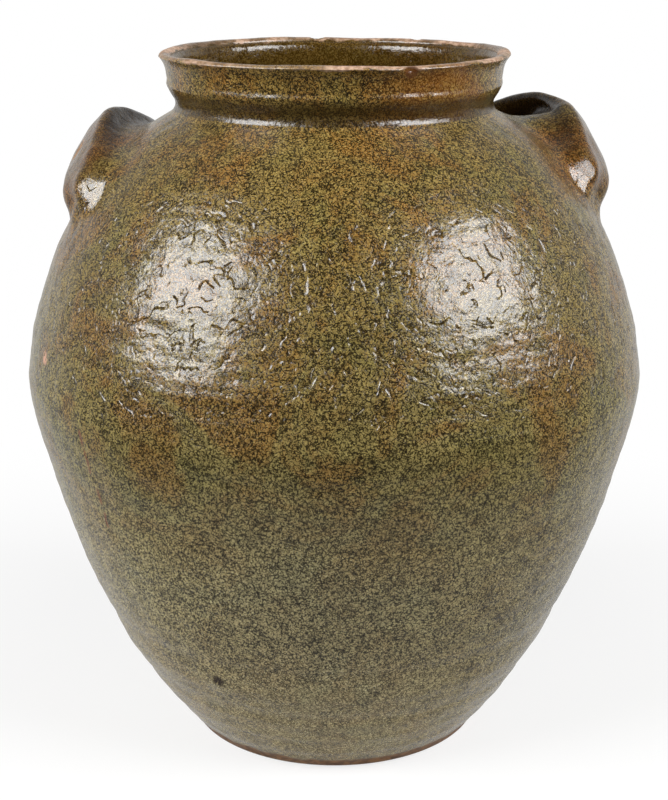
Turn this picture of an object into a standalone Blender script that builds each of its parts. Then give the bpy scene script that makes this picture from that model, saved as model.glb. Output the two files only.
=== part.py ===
"""Glazed stoneware storage jar: two thrown sections luted at the belly, a flared
rim collar on the neck, and two arched strap handles pressed onto the shoulder.
Metres, +Z up, origin on the floor at the middle of the foot."""

import bmesh
import bpy
import math
from mathutils import Vector

# Joint clearance that every piece keeps to its neighbour, the overrun of a cut,
# and the distance within which points of one turned seam are the same point
GAP = 0.0003
OVERRUN = 0.0200
SEAM = 0.00001

# Body, outside: the neck stands a rise above the belly
FOOT_RADIUS = 0.0840
HEEL_CHAMFER = 0.0025
BELLY_RADIUS = 0.1687
BELLY_HEIGHT = 0.2078
NECK_RADIUS = 0.0834
SHOULDER_RISE = 0.1422
NECK_HEIGHT = BELLY_HEIGHT + SHOULDER_RISE

# Pull of the curves: the lower wall leaves the foot towards its first handle point
# and arrives upright at the belly, the shoulder leaves the belly upright
LOWER_PULL_RADIUS = 0.1424
LOWER_PULL_HEIGHT = 0.0714
BELLY_PULL_BELOW = 0.0185
BELLY_PULL_ABOVE = 0.0076
SHOULDER_PULL_INSET = 0.0107
SHOULDER_PULL_DROP = 0.0360

# Body, inside
FLOOR_THICKNESS = 0.0120
FLOOR_FILLET = 0.0180
FOOT_WALL = 0.0100
BELLY_WALL = 0.0080
SHOULDER_WALL = 0.0070
THROAT_WALL = 0.0082
THROAT_RADIUS = NECK_RADIUS - THROAT_WALL
THROAT_DEPTH = 0.0050

# Luted joints: a ridge on the lower piece sits in a groove of the upper one
BELLY_RIDGE = 0.0030
NECK_RIDGE = 0.0015

# Rim collar: it stands a rise above the neck, and bulges and flares out past it
COLLAR_RISE = 0.0300
JAR_HEIGHT = NECK_HEIGHT + COLLAR_RISE
LIP_FLARE = 0.0098
LIP_RADIUS = NECK_RADIUS + LIP_FLARE
LIP_THICKNESS = 0.0066
LIP_ROUND = 0.0016
COLLAR_BULGE = 0.0060
COLLAR_BULGE_RADIUS = NECK_RADIUS + COLLAR_BULGE
COLLAR_BULGE_RISE = 0.0150
COLLAR_WAIST_RISE = 0.0055
COLLAR_WALL = 0.0072

# Rim chips: direction round the rim in degrees, ball radius and bite below the rim
CHIP_DIRECTIONS = (96.3, 59.0)
CHIP_BALL_RADIUS = 0.0070
CHIP_BITE = 0.0020
FRONT_CHIP_DIRECTION = -66.7
FRONT_CHIP_DROP = 0.0030
FRONT_CHIP_BITE = 0.0018

# Strap handles, a pair that differs a little because both were pressed on by hand
RIGHT_HANDLE_DIRECTION = 26.0
LEFT_HANDLE_DIRECTION = 166.0
HANDLE_HALF_SPAN = 0.0680
RIGHT_HANDLE_LIFT = 0.0210
LEFT_HANDLE_LIFT = 0.0165
HANDLE_SINK = 0.0060
STRAP_WIDTH = 0.0340
STRAP_THICKNESS = 0.0105
TERMINAL_WIDTH = 0.0360
TERMINAL_THICKNESS = 0.0200
RIGHT_HANDLE_ROOT_SHARE = 0.72
LEFT_HANDLE_ROOT_SHARE = 0.72
HANDLE_RISE_SHARE = 0.08
ARCH_FULLNESS_SHARE = 0.42
STRAP_LEAN = 8.0
STRAP_ROUND_SHARE = 0.95

# Fineness of the faceted solids
TURNED_STEPS = 80
WALL_STEPS = 12
COLLAR_STEPS = 5
STRAP_STATIONS = 22
STRAP_CORNER_STEPS = 4
SHOULDER_SCALE_STEPS = 200
CHIP_BALL_SEGMENTS = 16
CRISP_EDGE = 35.0


def clear_scene():
    """Remove the objects that the file starts with."""
    for old in list(bpy.data.objects):
        bpy.data.objects.remove(old, do_unlink=True)


def clay(name, colour, roughness):
    """A fired clay finish."""
    material = bpy.data.materials.new(name)
    material.use_nodes = True
    shader = material.node_tree.nodes["Principled BSDF"]
    shader.inputs["Base Color"].default_value = (*colour, 1)
    shader.inputs["Roughness"].default_value = roughness
    shader.inputs["Metallic"].default_value = 0
    return material


def lower_glaze():
    return clay("lower_ash_glaze", (0.150, 0.125, 0.065), 0.42)


def shoulder_glaze():
    return clay("shoulder_ash_glaze", (0.165, 0.110, 0.035), 0.28)


def collar_glaze():
    return clay("collar_ash_glaze", (0.140, 0.088, 0.026), 0.30)


def handle_glaze():
    return clay("handle_ash_glaze", (0.180, 0.105, 0.036), 0.30)


def bezier(start, start_pull, end_pull, end, steps):
    """Points of a cubic curve, with the direction of travel at each."""
    places = []
    for i in range(steps + 1):
        t = i / steps
        u = 1 - t
        point = start * u**3 + start_pull * 3 * u * u * t
        point += end_pull * 3 * u * t * t + end * t**3
        travel = (start_pull - start) * u * u + (end_pull - start_pull) * 2 * u * t
        travel += (end - end_pull) * t * t
        places.append((point, travel.normalized()))
    return places


def foot_curve(steps):
    """Outer wall from the top of the heel chamfer up to the belly: (radius, height)."""
    return bezier(Vector((FOOT_RADIUS, HEEL_CHAMFER)),
                  Vector((LOWER_PULL_RADIUS, LOWER_PULL_HEIGHT)),
                  Vector((BELLY_RADIUS, BELLY_HEIGHT - BELLY_PULL_BELOW)),
                  Vector((BELLY_RADIUS, BELLY_HEIGHT)), steps)


def shoulder_curve(steps):
    """Outer wall from the belly in to the foot of the neck: (radius, height)."""
    return bezier(Vector((BELLY_RADIUS, BELLY_HEIGHT)),
                  Vector((BELLY_RADIUS, BELLY_HEIGHT + BELLY_PULL_ABOVE)),
                  Vector((BELLY_RADIUS - SHOULDER_PULL_INSET, NECK_HEIGHT - SHOULDER_PULL_DROP)),
                  Vector((NECK_RADIUS, NECK_HEIGHT)), steps)


def offset(places, first, last):
    """The curve moved outwards by a distance that changes evenly from first to last."""
    moved = []
    for i, (point, travel) in enumerate(places):
        distance = first + (last - first) * i / (len(places) - 1)
        moved.append(point + Vector((travel.y, -travel.x)) * distance)
    return moved


def turned(name, outline, material):
    """Turn an outline of (radius, height) points, listed down its outer side, into a solid."""
    mesh = bpy.data.meshes.new(name)
    points = [(p[0], 0, p[1]) for p in outline]
    edges = [(i, i + 1) for i in range(len(points) - 1)]
    if outline[0][0] > 0:
        edges.append((len(points) - 1, 0))
    mesh.from_pydata(points, edges, [])
    piece = bpy.data.objects.new(name, mesh)
    bpy.context.collection.objects.link(piece)
    screw = piece.modifiers.new("turning", "SCREW")
    screw.steps = TURNED_STEPS
    screw.render_steps = TURNED_STEPS
    screw.use_merge_vertices = True
    screw.merge_threshold = SEAM
    screw.use_smooth_shade = True
    piece.data.materials.append(material)
    return piece


def smooth_shading(piece):
    """Round surfaces shade smooth, and sharper edges stay crisp."""
    piece.data.shade_smooth()
    piece.data.set_sharp_from_angle(angle=math.radians(CRISP_EDGE))


def ridge(outer_radius, inner_radius, height, rise):
    """The three points of a luting ridge, from its outer edge to its inner one."""
    middle = (outer_radius + inner_radius) / 2
    return [(outer_radius, height), (middle, height + rise), (inner_radius, height)]


def make_lower_body():
    """Foot, floor and lower wall, thrown in one piece up to the belly."""
    wall = foot_curve(WALL_STEPS)
    inner = offset(wall, -FOOT_WALL, -BELLY_WALL)
    fillet_top = FLOOR_THICKNESS + FLOOR_FILLET
    inner = [p for p in inner if p.y > fillet_top and p.y < BELLY_HEIGHT]
    floor_edge = Vector((inner[0].x - FLOOR_FILLET, FLOOR_THICKNESS))
    corner = Vector((inner[0].x - FLOOR_FILLET / 2, FLOOR_THICKNESS))
    fillet = [p for p, _ in bezier(inner[0], (inner[0] + corner) / 2, corner, floor_edge, COLLAR_STEPS)]
    joint = ridge(BELLY_RADIUS, BELLY_RADIUS - BELLY_WALL, BELLY_HEIGHT, BELLY_RIDGE)
    outline = [(0, FLOOR_THICKNESS)]
    outline += [tuple(p) for p in reversed(fillet)]
    outline += [tuple(p) for p in inner[1:]]
    outline += list(reversed(joint))
    outline += [tuple(p) for p, _ in reversed(wall[:-1])]
    outline += [(FOOT_RADIUS - HEEL_CHAMFER, 0), (0, 0)]
    return turned("lower_body", outline, lower_glaze())


def make_upper_body():
    """Belly to neck: the shoulder section, turned over the lower one and luted on."""
    wall = shoulder_curve(WALL_STEPS)
    inner = offset(wall, -BELLY_WALL, -SHOULDER_WALL)
    throat_height = NECK_HEIGHT - THROAT_DEPTH
    lowest = BELLY_HEIGHT + GAP + BELLY_RIDGE
    inner = [p for p in inner if p.x > THROAT_RADIUS + THROAT_DEPTH and p.y > lowest]
    neck_joint = ridge(NECK_RADIUS, THROAT_RADIUS, NECK_HEIGHT, NECK_RIDGE)
    belly_joint = ridge(BELLY_RADIUS, BELLY_RADIUS - BELLY_WALL, BELLY_HEIGHT + GAP, BELLY_RIDGE)
    outline = list(reversed(neck_joint))
    outline += [tuple(p) for p, _ in reversed(wall[1:-1])]
    outline += belly_joint
    outline += [tuple(p) for p in inner]
    outline += [(THROAT_RADIUS, throat_height)]
    return turned("upper_body", outline, shoulder_glaze())


def make_rim_collar():
    """The collar thrown on the neck: waisted at its root, bulged, then flared to the lip."""
    root = NECK_HEIGHT + GAP
    bulge = Vector((COLLAR_BULGE_RADIUS, NECK_HEIGHT + COLLAR_BULGE_RISE))
    lip_under = Vector((LIP_RADIUS, JAR_HEIGHT - LIP_ROUND))
    waist = bezier(Vector((NECK_RADIUS, root)), Vector((NECK_RADIUS, root + COLLAR_WAIST_RISE)),
                   Vector((COLLAR_BULGE_RADIUS, bulge.y - COLLAR_WAIST_RISE)), bulge, COLLAR_STEPS)
    third = (lip_under.y - bulge.y) / 3
    flare = bezier(bulge, Vector((bulge.x, bulge.y + third)),
                   Vector((bulge.x, lip_under.y - third)), lip_under, COLLAR_STEPS)
    lip_inner = LIP_RADIUS - LIP_THICKNESS
    bulge_inner = COLLAR_BULGE_RADIUS - COLLAR_WALL
    bore = bezier(Vector((lip_inner, JAR_HEIGHT - LIP_ROUND)), Vector((bulge_inner, lip_under.y - third)),
                  Vector((bulge_inner, bulge.y)), Vector((THROAT_RADIUS, root)), COLLAR_STEPS)
    outline = [(LIP_RADIUS - LIP_ROUND, JAR_HEIGHT)]
    outline += [tuple(p) for p, _ in reversed(waist[1:] + flare[1:])]
    outline += ridge(NECK_RADIUS, THROAT_RADIUS, root, NECK_RIDGE)
    outline += [tuple(p) for p, _ in reversed(bore[:-1])]
    outline += [(lip_inner + LIP_ROUND, JAR_HEIGHT)]
    collar = turned("rim_collar", outline, collar_glaze())
    for place in chip_places():
        bite(collar, place, CHIP_BALL_RADIUS)
    return collar


def chip_places():
    """Ball centres of the chips in the lip: two from above, one from outside at the front."""
    middle = LIP_RADIUS - LIP_THICKNESS / 2
    places = []
    for direction in CHIP_DIRECTIONS:
        turn = math.radians(direction)
        height = JAR_HEIGHT + CHIP_BALL_RADIUS - CHIP_BITE
        places.append(Vector((middle * math.cos(turn), middle * math.sin(turn), height)))
    turn = math.radians(FRONT_CHIP_DIRECTION)
    reach = LIP_RADIUS + CHIP_BALL_RADIUS - FRONT_CHIP_BITE
    height = JAR_HEIGHT - FRONT_CHIP_DROP
    places.append(Vector((reach * math.cos(turn), reach * math.sin(turn), height)))
    return places


def bite(piece, place, radius):
    """Cut a shallow ball-shaped chip out of a piece."""
    bpy.ops.mesh.primitive_uv_sphere_add(segments=CHIP_BALL_SEGMENTS, ring_count=CHIP_BALL_SEGMENTS // 2,
                                         radius=radius, location=place)
    ball = bpy.context.object
    ball.name = "chip_cutter"
    as_cutter(ball)
    cut = piece.modifiers.new("chip", "BOOLEAN")
    cut.operation = "DIFFERENCE"
    cut.solver = "EXACT"
    cut.object = ball


def as_cutter(piece):
    """Show a cutter as wire and keep it out of the part."""
    piece.hide_render = True
    piece.display_type = "WIRE"


def make_shoulder_cutter():
    """A solid that fills the shoulder to one clearance outside it, to trim the handles."""
    skin = offset(shoulder_curve(WALL_STEPS), GAP, GAP)
    outline = [(0, skin[-1].y)]
    outline += [tuple(p) for p in reversed(skin)]
    outline += [(skin[0].x, skin[0].y - OVERRUN), (0, skin[0].y - OVERRUN)]
    cutter = turned("shoulder_cutter", outline, clay("cutter", (1, 1, 1), 1))
    as_cutter(cutter)
    return cutter


def shoulder_place(share, turn):
    """Point on the shoulder and its outward normal, by share of the curve and direction."""
    point, travel = shoulder_curve(SHOULDER_SCALE_STEPS)[round(share * SHOULDER_SCALE_STEPS)]
    out = Vector((math.cos(turn), math.sin(turn), 0))
    up = Vector((0, 0, 1))
    return out * point.x + up * point.y, (out * travel.y - up * travel.x).normalized()


def strap_path(direction, root_share, crown_lift):
    """Stations of a strap: place and outward normal, from the near root over to the far one."""
    stations = []
    root, _ = shoulder_place(root_share, 0)
    half_turn = HANDLE_HALF_SPAN / root.x
    for i in range(STRAP_STATIONS + 1):
        swing = -math.cos(math.pi * i / STRAP_STATIONS)
        arch = 1 - swing * swing
        foot, normal = shoulder_place(root_share + HANDLE_RISE_SHARE * arch,
                                      math.radians(direction) + half_turn * swing)
        lift = (crown_lift + HANDLE_SINK) * arch**ARCH_FULLNESS_SHARE - HANDLE_SINK
        stations.append((foot + normal * lift, normal, arch))
    return stations


def strap_section(half_width, half_thickness):
    """Rounded slab section: (across the strap, out from the jar)."""
    round_radius = half_thickness * STRAP_ROUND_SHARE
    corners = ((1, 1), (-1, 1), (-1, -1), (1, -1))
    points = []
    for quarter, (side, face) in enumerate(corners):
        for i in range(STRAP_CORNER_STEPS + 1):
            angle = math.pi / 2 * (quarter + i / STRAP_CORNER_STEPS)
            points.append((side * (half_width - round_radius) + round_radius * math.cos(angle),
                           face * (half_thickness - round_radius) + round_radius * math.sin(angle)))
    return points


def make_handle(name, direction, root_share, crown_lift, cutter):
    """One arched strap, its broad side along the shoulder, trimmed to sit on it."""
    stations = strap_path(direction, root_share, crown_lift)
    rings = bmesh.new()
    loops = []
    for i, (place, normal, arch) in enumerate(stations):
        before = stations[max(i - 1, 0)][0]
        after = stations[min(i + 1, len(stations) - 1)][0]
        along = (after - before).normalized()
        across = normal.cross(along).normalized()
        out = along.cross(across)
        lean = math.radians(STRAP_LEAN) * arch
        uphill = across * math.cos(lean) + out * math.sin(lean)
        face = out * math.cos(lean) - across * math.sin(lean)
        flare = (1 - arch)**2
        half_width = (STRAP_WIDTH + (TERMINAL_WIDTH - STRAP_WIDTH) * flare) / 2
        half_thickness = (STRAP_THICKNESS + (TERMINAL_THICKNESS - STRAP_THICKNESS) * flare) / 2
        section = strap_section(half_width, half_thickness)
        loops.append([rings.verts.new(place + uphill * a + face * b) for a, b in section])
    for first, second in zip(loops, loops[1:]):
        for i in range(len(first)):
            j = (i + 1) % len(first)
            rings.faces.new((first[i], first[j], second[j], second[i]))
    rings.faces.new(list(reversed(loops[0])))
    rings.faces.new(loops[-1])
    bmesh.ops.recalc_face_normals(rings, faces=rings.faces)
    mesh = bpy.data.meshes.new(name)
    rings.to_mesh(mesh)
    rings.free()
    handle = bpy.data.objects.new(name, mesh)
    bpy.context.collection.objects.link(handle)
    handle.data.materials.append(handle_glaze())
    smooth_shading(handle)
    trim = handle.modifiers.new("seat", "BOOLEAN")
    trim.operation = "DIFFERENCE"
    trim.solver = "EXACT"
    trim.use_self = True
    trim.object = cutter
    return handle


def main():
    clear_scene()
    cutter = make_shoulder_cutter()
    pieces = [make_lower_body(), make_upper_body(), make_rim_collar(),
              make_handle("right_handle", RIGHT_HANDLE_DIRECTION, RIGHT_HANDLE_ROOT_SHARE,
                          RIGHT_HANDLE_LIFT, cutter),
              make_handle("left_handle", LEFT_HANDLE_DIRECTION, LEFT_HANDLE_ROOT_SHARE,
                          LEFT_HANDLE_LIFT, cutter)]
    jar = bpy.data.objects.new("storage_jar", None)
    bpy.context.collection.objects.link(jar)
    for piece in pieces:
        piece.parent = jar


main()
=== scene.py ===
"""Stoneware storage jar: the thrown walls, collar and strap handles in their ash glaze."""

import math

import bpy
import numpy as np
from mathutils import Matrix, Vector, noise


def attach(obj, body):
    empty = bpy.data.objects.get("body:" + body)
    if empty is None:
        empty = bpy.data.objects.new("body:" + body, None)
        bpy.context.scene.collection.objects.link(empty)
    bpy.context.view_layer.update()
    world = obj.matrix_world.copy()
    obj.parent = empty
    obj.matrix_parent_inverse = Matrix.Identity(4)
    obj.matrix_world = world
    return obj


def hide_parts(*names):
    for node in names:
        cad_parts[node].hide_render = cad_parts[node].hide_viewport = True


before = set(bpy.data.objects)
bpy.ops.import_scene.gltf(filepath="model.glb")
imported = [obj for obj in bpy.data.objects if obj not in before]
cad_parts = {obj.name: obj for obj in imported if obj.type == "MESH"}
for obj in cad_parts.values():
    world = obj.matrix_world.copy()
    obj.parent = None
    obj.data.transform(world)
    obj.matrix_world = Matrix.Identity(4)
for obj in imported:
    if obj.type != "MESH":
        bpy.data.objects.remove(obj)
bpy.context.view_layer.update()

# Turned outline of the jar, in metres; a place on it is (radius, height)
FOOT_RADIUS = 0.0840
HEEL_CHAMFER = 0.0025
FLOOR_HEIGHT = 0.0120
BELLY_RADIUS = 0.1687
BELLY_HEIGHT = 0.2078
NECK_RADIUS = 0.0834
NECK_HEIGHT = 0.3500
THROAT_RADIUS = 0.0752
BULGE_RADIUS = 0.0894
BULGE_HEIGHT = NECK_HEIGHT + 0.0150
JAR_HEIGHT = 0.3800
LIP_RADIUS = 0.0932
LIP_THICKNESS = 0.0066
LIP_EDGE = JAR_HEIGHT - 0.0016
BELLY = (BELLY_RADIUS, BELLY_HEIGHT)
NECK = (NECK_RADIUS, NECK_HEIGHT)
THROAT = (THROAT_RADIUS, NECK_HEIGHT)
LIP_INSIDE = (LIP_RADIUS - LIP_THICKNESS, JAR_HEIGHT - 0.0022)

# Thickness of the walls
JOINT_WALL = 0.0080
LOWER_WALL = 0.0090
SHOULDER_WALL = 0.0075
COLLAR_WALL = 0.0072
JOINT_INSIDE = (BELLY_RADIUS - JOINT_WALL, BELLY_HEIGHT)
JOINT_MIDDLE = (BELLY_RADIUS - JOINT_WALL / 2, BELLY_HEIGHT)

# Fineness of the spun walls, and how far off its line a point of the outer skin may be
TURNS = 640
CURVE_POINTS = 900
OUTER_ROWS = 122
INNER_ROWS = 14
COLLAR_ROWS = 40
FILLET_ROWS = 17
ON_LINE = 2e-5
CREASE = math.radians(50)

# Rows below the collar over which the wall's unevenness dies away
CALM_ROWS = 6


# Outlines

def bezier(start, start_pull, end_pull, end, count):
    """Points along a curve with a pull at each end."""
    t = np.linspace(0, 1, count)[:, None]
    u = 1 - t
    a, b, c, d = (np.array(p, float) for p in (start, start_pull, end_pull, end))
    return a * u**3 + b * 3 * u * u * t + c * 3 * u * t * t + d * t**3


def even(points, count):
    """The same line with its points spaced evenly along it."""
    points = np.asarray(points, float)
    run = np.concatenate([[0], np.cumsum(np.linalg.norm(np.diff(points, axis=0), axis=1))])
    at = np.linspace(0, run[-1], count)
    return np.stack([np.interp(at, run, points[:, k]) for k in range(points.shape[1])], 1)


def smooth(x, low, high):
    """0 at low, 1 at high, eased between; low may be the larger."""
    t = np.clip((x - low) / (high - low), 0, 1)
    return t * t * (3 - 2 * t)


def unit(steps):
    """Each row brought to a length of 1."""
    return steps / np.linalg.norm(steps, axis=1)[:, None]


def outward(line):
    """Outward normals of a line that climbs, in (radius, height)."""
    run = unit(np.gradient(line, axis=0))
    return np.stack([run[:, 1], -run[:, 0]], 1)


def turned(out, pair):
    """(Sideways, upward) pairs, turned to the level direction out that each point has."""
    return np.column_stack([out * pair[:, :1], pair[:, 1]])


def lower_line(count):
    """Wall from the heel up to the belly."""
    return even(bezier((FOOT_RADIUS, HEEL_CHAMFER), (0.1424, 0.0714),
                       (BELLY_RADIUS, BELLY_HEIGHT - 0.0185), BELLY, CURVE_POINTS), count)


def shoulder_curve(count):
    """Wall from the belly up to the neck, closer together towards its ends."""
    return bezier(BELLY, (BELLY_RADIUS, BELLY_HEIGHT + 0.0076), (0.1580, 0.3140), NECK, count)


def shoulder_line(count):
    """The same wall with its points spaced evenly."""
    return even(shoulder_curve(CURVE_POINTS), count)


def waist_line():
    """Collar from its root out over the bulge."""
    return bezier(NECK, (NECK_RADIUS, NECK_HEIGHT + 0.0055), (BULGE_RADIUS, NECK_HEIGHT + 0.0095),
                  (BULGE_RADIUS, BULGE_HEIGHT), 60)


def neck_fillet(shoulder, waist):
    """Concave run of clay from the shoulder into the collar, split where the two meet."""
    low = next(p for p in shoulder if p[0] < NECK_RADIUS + 0.0075)
    high = next(p for p in waist if p[1] > NECK_HEIGHT + 0.0055)
    t = np.linspace(0, 1, FILLET_ROWS)[:, None]
    run = low * (1 - t)**2 + np.array(NECK) * 2 * t * (1 - t) + high * t**2
    middle = FILLET_ROWS // 2
    return run[:middle + 1], run[middle:]


# Work on a piece's mesh

def deselect_all():
    bpy.ops.object.select_all(action="DESELECT")


def select_edges(piece, wanted):
    """Go into edit mode with only those edges selected whose two ends are as wanted."""
    bpy.ops.object.mode_set(mode="EDIT")
    bpy.ops.mesh.select_mode(type="EDGE")
    bpy.ops.mesh.select_all(action="DESELECT")
    bpy.ops.object.mode_set(mode="OBJECT")
    points = piece.data.vertices
    for edge in piece.data.edges:
        edge.select = wanted(*(points[i].co for i in edge.vertices))
    bpy.ops.object.mode_set(mode="EDIT")


def leave_edges():
    """Back to object mode, with points as what edit mode selects."""
    bpy.ops.mesh.select_mode(type="VERT")
    bpy.ops.object.mode_set(mode="OBJECT")


def face_outwards():
    """Turn every face of the piece in hand outwards."""
    bpy.ops.object.mode_set(mode="EDIT")
    bpy.ops.mesh.select_all(action="SELECT")
    bpy.ops.mesh.normals_make_consistent(inside=False)
    bpy.ops.object.mode_set(mode="OBJECT")


def spin_outline(name, outline, on_axis=False):
    """Turn a closed outline of (radius, height) points round the jar's axis."""
    deselect_all()
    bpy.ops.mesh.primitive_circle_add(vertices=len(outline), radius=1, location=(0, 0, 0))
    piece = bpy.context.object
    piece.name = name
    for vertex, (radius, height) in zip(piece.data.vertices, outline):
        vertex.co = (radius, 0, height)
    if on_axis:
        # The edge along the axis would turn into nothing
        select_edges(piece, lambda a, b: max(a.x, b.x) < 1e-6)
        bpy.ops.mesh.delete(type="EDGE")
        leave_edges()
    turn = piece.modifiers.new("turning", "SCREW")
    turn.steps = TURNS
    turn.render_steps = TURNS
    turn.use_merge_vertices = True
    turn.merge_threshold = 1e-6
    bpy.ops.object.modifier_apply(modifier=turn.name)
    bpy.ops.object.mode_set(mode="EDIT")
    bpy.ops.mesh.select_all(action="SELECT")
    bpy.ops.mesh.remove_doubles(threshold=1e-6)
    bpy.ops.mesh.dissolve_degenerate(threshold=1e-7)
    bpy.ops.object.mode_set(mode="OBJECT")
    face_outwards()
    return piece


def places(piece):
    """Where the piece's points are, one row each."""
    flat = np.empty(len(piece.data.vertices) * 3)
    piece.data.vertices.foreach_get("co", flat)
    return flat.reshape(-1, 3)


def put(piece, points):
    """Move the piece's points to new places."""
    piece.data.vertices.foreach_set("co", np.ascontiguousarray(points).ravel())
    piece.data.update()


def painted(piece, name, share):
    """A share from 0 to 1 at every point, for the glaze to read by name."""
    data = piece.data.attributes.new(name, "FLOAT", "POINT")
    data.data.foreach_set("value", np.ascontiguousarray(share, dtype=np.float32))


def crisp(piece):
    """Shade smoothly, but keep the heel and the joints sharp."""
    deselect_all()
    piece.select_set(True)
    bpy.context.view_layer.objects.active = piece
    bpy.ops.object.shade_smooth_by_angle(angle=CREASE)


def nearest(points, line):
    """Index of the nearest point of a line for each of many points, found batch by batch."""
    batch = 8000
    at = np.empty(len(points), int)
    size = (line**2).sum(1)
    for first in range(0, len(points), batch):
        part = points[first:first + batch]
        at[first:first + batch] = (size[None] - 2 * part @ line.T).argmin(1)
    return at


def spun_from(points, line):
    """Index of each vertex's nearest outline point, and whether it was spun from that line."""
    flat = np.stack([np.hypot(points[:, 0], points[:, 1]), points[:, 2]], 1)
    rows = nearest(flat, line)
    return rows, np.linalg.norm(flat - line[rows], axis=1) < ON_LINE


# Hand-made surface: rings that the fingers left round the wall, as height, width and rise
FINGER_RINGS = ((0.276, 0.010, 0.00055), (0.236, 0.009, 0.00050), (0.160, 0.012, -0.00045),
                (0.078, 0.007, -0.00050), (0.062, 0.010, 0.00055), (0.045, 0.006, -0.00040))

# Distance between throwing lines, coarse and fine
COARSE_LINES = 0.0115
FINE_LINES = 0.0063

# Swells of the melted glaze, as how many to a metre and how high
GLAZE_SWELLS = ((28, 0.00050), (95, 0.00022), (210, 0.00009))

# Lumps on the lower wall: place, reach and rise
WALL_LUMPS = (((0.118, -0.085, 0.080), 0.0030, 0.0012), ((0.112, -0.080, 0.066), 0.0025, 0.0010),
              ((-0.0616, -0.1090, 0.0641), 0.0035, 0.0010))


def bell(x, middle, width):
    """1 at the middle, dying away over the width on both sides."""
    return np.exp(-((x - middle) / width)**2)


def hand_waver(points):
    """How far the potter's hand left the wall proud of the true curve, in metres."""
    x, y, z = points.T
    turn = np.arctan2(y, x)
    rise = sum(height * bell(z, middle, width) for middle, width, height in FINGER_RINGS)
    left = 0.5 + 0.5 * np.cos(turn - math.radians(205))
    rise += 0.0016 * left**3 * bell(z, 0.085, 0.055)
    coarse = np.sin(z * 2 * math.pi / COARSE_LINES + 0.6 * np.sin(turn))
    rise += 0.00010 * coarse * np.clip(1.2 - z / 0.3, 0.25, 1)
    rise += 0.00004 * np.sin(z * 2 * math.pi / FINE_LINES + 0.9 * np.sin(turn * 2))
    return rise


def orange_peel(points):
    """The softly dimpled relief of the melted glaze, in metres."""
    out = np.empty(len(points))
    for i, point in enumerate(points):
        spot = Vector(point)
        out[i] = sum(height * noise.noise(spot * often) for often, height in GLAZE_SWELLS)
    return out


def lumps(points, spots):
    """Rise of round lumps given as place, reach and rise."""
    out = np.zeros(len(points))
    for place, radius, rise in spots:
        out += rise * bell(np.linalg.norm(points - np.array(place), axis=1), 0, radius)
    return out


def weather(piece, line, spots=(), calm_rows=0):
    """Push the outer skin in and out along the line's own normals, less over the last rows."""
    points = places(piece)
    rows, skin = spun_from(points, line)
    rows = rows[skin]
    chosen = points[skin]
    push = hand_waver(chosen) + orange_peel(chosen) + lumps(chosen, spots)
    if calm_rows:
        push *= np.clip((len(line) - 1 - rows) / calm_rows, 0, 1)
    points[skin] = chosen + turned(unit(chosen[:, :2]), outward(line)[rows]) * push[:, None]
    put(piece, points)


def bitten(points, ball, radius):
    """Points inside a chip's ball go back to its surface, with a broken-clay unevenness."""
    points = points.copy()
    step = points - ball
    reach = np.linalg.norm(step, axis=1)
    inside = reach < radius
    grain = np.array([noise.noise(Vector(p) * 900) for p in points[inside]])
    away = step[inside] / reach[inside][:, None]
    points[inside] = ball + away * (radius + 0.00025 * grain)[:, None]
    return points


# Handles: where their roots are, as a share of the way up the shoulder, how much further up their
# middle is, and half the way round from root to root
ROOT_SHARE = 0.72
ARCH_SHARE = 0.08
HALF_SPAN = 0.0680
SHOULDER_STEPS = 800

# Fineness of a strap along and around it
STRAP_RINGS = 170
STRAP_ROUND = 128

# Half a strap's thickness at its middle, what its roots add to that and to its half width, its
# corners as a share of the thickness, and how much of it the potter pinched away uphill
HALF_THICK = 0.00525
ROOT_THICK = 0.00475
ROOT_WIDE = 0.0010
STRAP_CORNER = 0.9
PINCH = 0.45

# Tilt of a strap's near half in degrees, and the width over which it melts into the wall downhill
NEAR_LEAN = 8
DOWNHILL_WEB = 0.007

# Width over which a strap melts into the curtain of clay under it
CURTAIN_WEB = 0.006

# How far from a strap the wall is pulled out to it
SMEAR_REACH = 0.060

# Height of each strap's middle over the shoulder, from its far root at -1 to its near one at 1
RIGHT_CLIMB = ((-1, -0.93, -0.70, -0.35, 0, 0.35, 0.70, 0.92, 1),
               (-0.0110, -0.0020, 0.0070, 0.0172, 0.0228, 0.0219, 0.0138, 0.0056, -0.0110))
LEFT_CLIMB = ((-1, -0.93, -0.60, -0.30, -0.05, 0.12, 0.45, 0.70, 0.90, 1),
              (-0.0110, -0.0010, 0.0025, 0.0065, 0.0135, 0.0155, 0.0105, 0.0064, 0.0024, -0.0110))

# Rounded ends of the straps: place, reach and rise
LOBES = (((0.1368, -0.0150, 0.3183), 0.0100, 0.0050), ((-0.1305, -0.0410, 0.3128), 0.0100, 0.0050),
         ((0.1125, 0.0160, 0.3370), 0.0150, 0.0058))

# Flats that the thumb pressed on the straps' near ends: middle, facing and distance along it
THUMBS = (((0.1360, -0.0165, 0.3185), (0.3597, -0.8473, 0.3907), 0.1898),
          ((-0.1290, -0.0430, 0.3125), (-0.3597, -0.8473, 0.3907), 0.2089))
THUMB_REACH = 0.0200
THUMB_SOFTNESS = 0.0014

# Ball that marks out the knock on the left strap
KNOCK = (-0.1470, -0.0023, 0.3328)
KNOCK_RADIUS = 0.0120

SHOULDER = shoulder_line(500)
SHOULDER_OUT = outward(SHOULDER)


def arched(way, stops, heights):
    """Height of a strap's middle over the shoulder, eased through what is given at a few stops."""
    grid = np.linspace(-1, 1, 401)
    line = np.interp(grid, stops, heights)
    ease = 25
    for _ in range(2):
        line = np.convolve(np.pad(line, ease // 2, "edge"), np.ones(ease) / ease, "valid")
    return np.interp(way, grid, line)


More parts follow.
